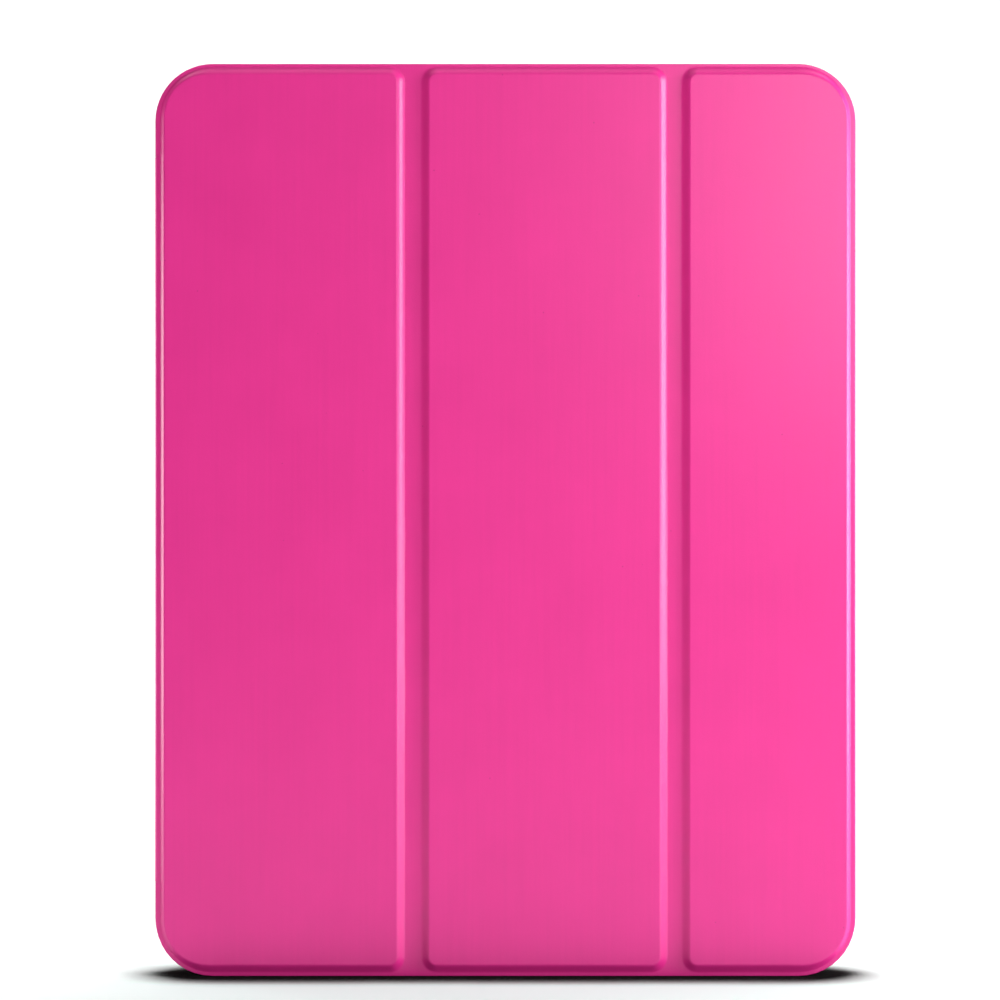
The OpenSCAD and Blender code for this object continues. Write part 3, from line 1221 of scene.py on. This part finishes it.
@dataclass(frozen=True)
class Tray:
    """The moulded tray with the microfibre pad on its floor."""

    plastic: bpy.types.Material
    lining: bpy.types.Material
    pad_soft: float = 0.16
    bay_r: float = 15.5
    window_r: float = 11.2
    window_half: float = 18.2
    window_aside: float = 3.0
    window_drop: float = 23.2

    def shell(self, frame: dict[str, Any]) -> bpy.types.Object:
        """Copies the CAD tray, welds it and joins its flat faces, with crisp edges kept crisp.


        Returns:
            The new piece.
        """
        mesh = frame["nodes"]["back_shell"].data.copy()
        mesh.name = "tray_shell"
        work = bmesh.new()
        work.from_mesh(mesh)
        bmesh.ops.remove_doubles(work, verts=work.verts, dist=1e-6)
        bmesh.ops.dissolve_limit(work, angle_limit=math.radians(0.4), verts=work.verts,
                                 edges=work.edges)
        work.to_mesh(mesh)
        work.free()
        piece = dress(bpy.data.objects.new("tray_shell", mesh), self.plastic, 35.0)
        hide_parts("back_shell")
        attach(piece, Body.TRAY.value)
        return piece

    def pad(self) -> bpy.types.Object:
        """Builds the pad as a flat ring between the tray's floor outline and the camera window.

        Every point lies on a straight way from the window's outline to the matching point of the
        floor's outline; both edges are rounded by a quarter circle.

        Returns:
            The new piece.
        """
        lowest, highest = low("back_lining"), high("back_lining")
        floor = Outline(lowest[0], lowest[2], highest[0], highest[2], self.bay_r, self.bay_r)
        window = self.camera_window()
        face, under, soft = lowest[1], highest[1], self.pad_soft
        rings = Rings()
        angles = quarter(5)
        grown = window.inset(-soft, -soft, -soft)
        rings.glide(window, grown, 1 - np.cos(angles), face + soft * (1 - np.sin(angles)))
        drawn = floor.inset(soft, soft, soft)
        rings.glide(grown, drawn, np.linspace(0.02, 0.98, 9), np.full(9, face))
        rings.glide(drawn, floor, np.sin(angles), face + soft * (1 - np.cos(angles)))
        rings.step(floor, under)
        rings.step(window, under)
        points = rings.points(Stops(np.linspace(0, 1, 13), np.linspace(0, 1, 17)))
        quads = grid_quads(*points.shape[:2], True, True)
        piece = make_piece("tray_pad", points, quads, self.lining)
        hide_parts("back_lining")
        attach(piece, Body.TRAY.value)
        return piece

    def camera_window(self) -> Outline:
        """The camera window's square outline in the pad, placed from the power key above it.

        Returns:
            The outline.
        """
        lowest, highest = low("power_key"), high("power_key")
        x = (lowest[0] + highest[0]) / 2 + self.window_aside
        z = highest[2] - self.window_drop
        half = self.window_half
        return Outline(x - half, z - half, x + half, z + half, self.window_r, self.window_r)


@dataclass(frozen=True)
class KeyCap:
    """A moulded key cap: a slot-shaped plate with a rounded brim and a shallow dish along it."""

    name: str
    node: str
    body: Body
    finish: bpy.types.Material
    brim: float = 0.4
    dish: float = 0.18

    def build(self) -> bpy.types.Object:
        """Builds the cap.

        Its rings shrink from the outline to the middle line. The brim rises on a quarter circle and
        the dish sinks by a cosine wave towards the middle line.

        Returns:
            The new piece.
        """
        lowest, highest = low(self.node), high(self.node)
        upright = highest[2] - lowest[2] > 5.0
        thick = highest[0] - lowest[0] if upright else highest[2] - lowest[2]
        wide = highest[1] - lowest[1]
        long = highest[2] - lowest[2] if upright else highest[0] - lowest[0]
        angle = np.linspace(0.0, 2 * math.pi, 64, endpoint=False)
        half, shoulder, turn = wide / 2, thick - self.brim, quarter(7)[1:]
        sink = self.dish * (0.5 - 0.5 * np.cos(math.pi * np.linspace(0.12, 1.0, 7)))
        inset = np.concatenate([[half, 0.0, 0.0], self.brim * (1 - np.cos(turn)),
                                np.linspace(self.brim + 0.15, half, len(sink))])
        height = np.concatenate([[0.0, 0.0, shoulder], shoulder + self.brim * np.sin(turn),
                                 thick - sink])
        radius = (half - inset)[:, None]
        shift = np.where(np.cos(angle) >= 0, 1.0, -1.0)[None, :] * (long / 2 - half)
        along = shift + radius * np.cos(angle)[None, :]
        aside = radius * np.sin(angle)[None, :]
        rise = np.broadcast_to(height[:, None], along.shape)
        middle = (lowest + highest) / 2
        if upright:
            points = np.stack([lowest[0] + rise, middle[1] + aside, middle[2] + along], -1)
        else:
            points = np.stack([middle[0] + along, middle[1] + aside, lowest[2] + rise], -1)
        quads = grid_quads(*points.shape[:2], True)
        piece = make_piece(self.name, points, quads, self.finish)
        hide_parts(self.node)
        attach(piece, self.body.value)
        return piece


# ---------------------------------------------------------------- the studio


@dataclass(frozen=True)
class SoftLight:
    """A rectangular studio light."""

    name: str
    place: Colour
    aim: Colour
    size: Pair
    watts: float

    def build(self) -> bpy.types.Object:
        """Makes the light, turned to its aim.

        Returns:
            The new light.
        """
        lamp = bpy.data.lights.new(self.name, "AREA")
        lamp.shape = "RECTANGLE"
        lamp.size, lamp.size_y = self.size
        lamp.energy = self.watts
        light = bpy.data.objects.new(self.name, lamp)
        bpy.context.scene.collection.objects.link(light)
        light.location = self.place
        way = np.array(self.aim) - np.array(self.place)
        light.rotation_mode = "QUATERNION"
        light.rotation_quaternion = Vector(way).to_track_quat("-Z", "Y")
        return light


@dataclass(frozen=True)
class Studio:
    """A white sweep, soft lights and the camera, in metres.

    The floor isn't plain white. Close under the case it darkens to shade_colour, a painted contact
    shadow. Further out, in the case's shelter, it is painted a cyan-tinted white and gives off a
    faint painted glow, which together take back the pink light that the case throws on to it. Each
    span is the share of open sky between which the change is full and nothing.
    """

    depth: float = 1.1
    bend: float = 0.5
    height: float = 2.2
    half_width: float = 2.6
    front: float = -2.4
    white: tuple[Colour, Colour] = ((0.86, 0.86, 0.86), (0.89, 0.89, 0.89))
    # Painted contact shadow: how far and how strongly the floor darkens under the case.
    shade_reach: float = 0.022
    shade_span: Pair = (0.71, 0.93)
    shade_colour: Colour = (0.012, 0.012, 0.012)
    # Painted light: a cyan-tinted white and a faint glow beside the case, against its pink bounce
    # light.
    bounce_cancel_reach: float = 0.25
    bounce_cancel_span: Pair = (0.55, 1.0)
    bounce_cancel_white: Colour = (0.62, 0.86, 0.80)
    glow: Colour = (0.60, 0.77, 0.70)
    glow_strength: float = 0.60
    surround: float = 0.08
    eye: Colour = (-0.0017, -0.8716, 0.1486)
    lens_mm: float = 100.0
    sensor_mm: float = 36.0

    def sweep(self) -> bpy.types.Object:
        """Builds the floor that curves up into the backdrop.

        Its section runs flat to the back, round a quarter circle and straight up, and is carried
        along X.

        Returns:
            The new object, which is scenery.
        """
        flat_end = self.depth - self.bend
        section = np.concatenate([
            line((self.front, 0.0), (flat_end - 0.01, 0.0), 12),
            arc((flat_end, self.bend), self.bend, -90, 0, 25),
            line((self.depth, self.bend + 0.01), (self.depth, self.height), 6),
        ])
        across = np.linspace(-self.half_width, self.half_width, 9)
        shape = (len(section), len(across))
        points = np.stack([np.broadcast_to(values, shape)
                           for values in (across[None, :], section[:, :1], section[:, 1:])], -1)
        quads = grid_quads(*shape, False)[:, ::-1]
        mesh = bpy.data.meshes.new("studio_sweep")
        mesh.from_pydata(points.reshape(-1, 3).tolist(), [], quads.tolist())
        mesh.shade_smooth()
        mesh.materials.append(self.floor_finish())
        floor = bpy.data.objects.new("studio_sweep", mesh)
        bpy.context.scene.collection.objects.link(floor)
        return floor

    def floor_finish(self) -> bpy.types.Material:
        """The sweep's white, with painted contact shadow and painted light beside the case.

        Returns:
            The finished material.
        """
        mix = Recipe("studio_white", Place.OBJECT)
        white = mix.blend(mix.noise(900.0, 3.0), *self.white)
        # Painted contact shadow, darker where the case closes in over the floor.
        under = mix.span(mix.open_sky(self.shade_reach, 16), self.shade_span)
        # Painted light: the floor beside the case is tinted cyan and made to glow, against pink
        # bounce.
        shelter = mix.span(mix.open_sky(self.bounce_cancel_reach, 6), self.bounce_cancel_span, (1.0, 0.0))
        beside = mix.maths("MULTIPLY", shelter, under)
        white = mix.blend(beside, white, self.bounce_cancel_white)
        # The emission is a painted glow; the floor is no lamp.
        return mix.settle(Base_Color=mix.blend(under, self.shade_colour, white),
                          Emission_Color=(*self.glow, 1.0),
                          Emission_Strength=mix.maths("MULTIPLY", beside, self.glow_strength),
                          Roughness=0.85, Specular_IOR_Level=0.0)

    def lights(self) -> None:
        """Places the lights and the plain surrounding glow."""
        world = bpy.data.worlds.new("studio_glow")
        world.use_nodes = True
        background = world.node_tree.nodes["Background"]
        background.inputs["Color"].default_value = WHITE
        background.inputs["Strength"].default_value = self.surround
        bpy.context.scene.world = world
        for light in (
            SoftLight("key_right", (0.60, -0.17, 0.30), (0.0, 0.0, 0.16), (0.15, 0.48), 3.1),
            SoftLight("front_low", (0.95, -0.90, 0.05), (0.0, 0.0, 0.05), (0.60, 0.09), 3.4),
            SoftLight("gloss_right", (0.28, -0.87, 0.41), (0.05, 0.0, 0.20), (0.25, 0.40), 1.9),
            SoftLight("overhead", (0.0, -0.40, 1.15), (0.0, -0.05, 0.0), (1.2, 0.9), 1.05),
            SoftLight("rim_left", (-0.80, 0.25, 0.155), (-0.10, 0.0, 0.15), (0.55, 0.36), 4.2),
            SoftLight("rim_right", (0.78, 0.20, 0.155), (0.10, 0.0, 0.15), (0.40, 0.36), 3.6),
            SoftLight("backdrop_wash", (0.0, 0.45, 1.6), (0.0, 1.1, 0.5), (1.8, 0.5), 25.5),
        ):
            light.build()

    def camera(self) -> None:
        """Sets the camera square to the cover, in front of its middle."""
        lens = bpy.data.cameras.new("camera")
        lens.lens, lens.sensor_width = self.lens_mm, self.sensor_mm
        lens.clip_start, lens.clip_end = 0.01, 20.0
        camera = bpy.data.objects.new("camera", lens)
        bpy.context.scene.collection.objects.link(camera)
        camera.location = self.eye
        camera.rotation_euler = (math.pi / 2, 0.0, 0.0)
        bpy.context.scene.camera = camera
        bpy.context.scene.view_settings.view_transform = "Standard"
        bpy.context.scene.view_settings.look = "None"

    def build(self) -> None:
        """Builds the whole studio."""
        self.sweep()
        self.lights()
        self.camera()


def dress_inside(frame: dict[str, Any], board: bpy.types.Material,
                 nickel: bpy.types.Material) -> None:
    """Gives the CAD pieces that stay their finishes.

    Args:
        board: the boards' finish.
        nickel: the magnets' finish.
    """
    for name, node in frame["nodes"].items():
        if name.endswith(("_board", "_magnet", "_magnets")):
            for place in node.material_slots:
                place.material = board if name.endswith("_board") else nickel
            LOG.info("dressed %s", name)


def main() -> None:
    """Builds the case on its frame, then the studio."""
    logging.basicConfig(level=logging.INFO, format="%(message)s")
    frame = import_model()
    leather = Leather().build()
    lining = Microfibre().build()
    plastic = MouldedPlastic().build()
    cap_plastic = MouldedPlastic("moulded_keys", (0.62, 0.014, 0.17), 0.42, 4200.0).build()
    tray = Tray(plastic, lining)
    tray.shell(frame)
    tray.pad()
    Cover(CoverPlan(), leather, lining).build()
    for cap in (
        KeyCap("volume_up_cap", "volume_up_key", Body.VOLUME_UP, cap_plastic),
        KeyCap("volume_down_cap", "volume_down_key", Body.VOLUME_DOWN, cap_plastic),
        KeyCap("power_cap", "power_key", Body.POWER, cap_plastic),
    ):
        cap.build()
    dress_inside(frame, PressedBoard().build(), NickelPlate().build())
    Studio().build()


if __name__ == "__main__":
    main()
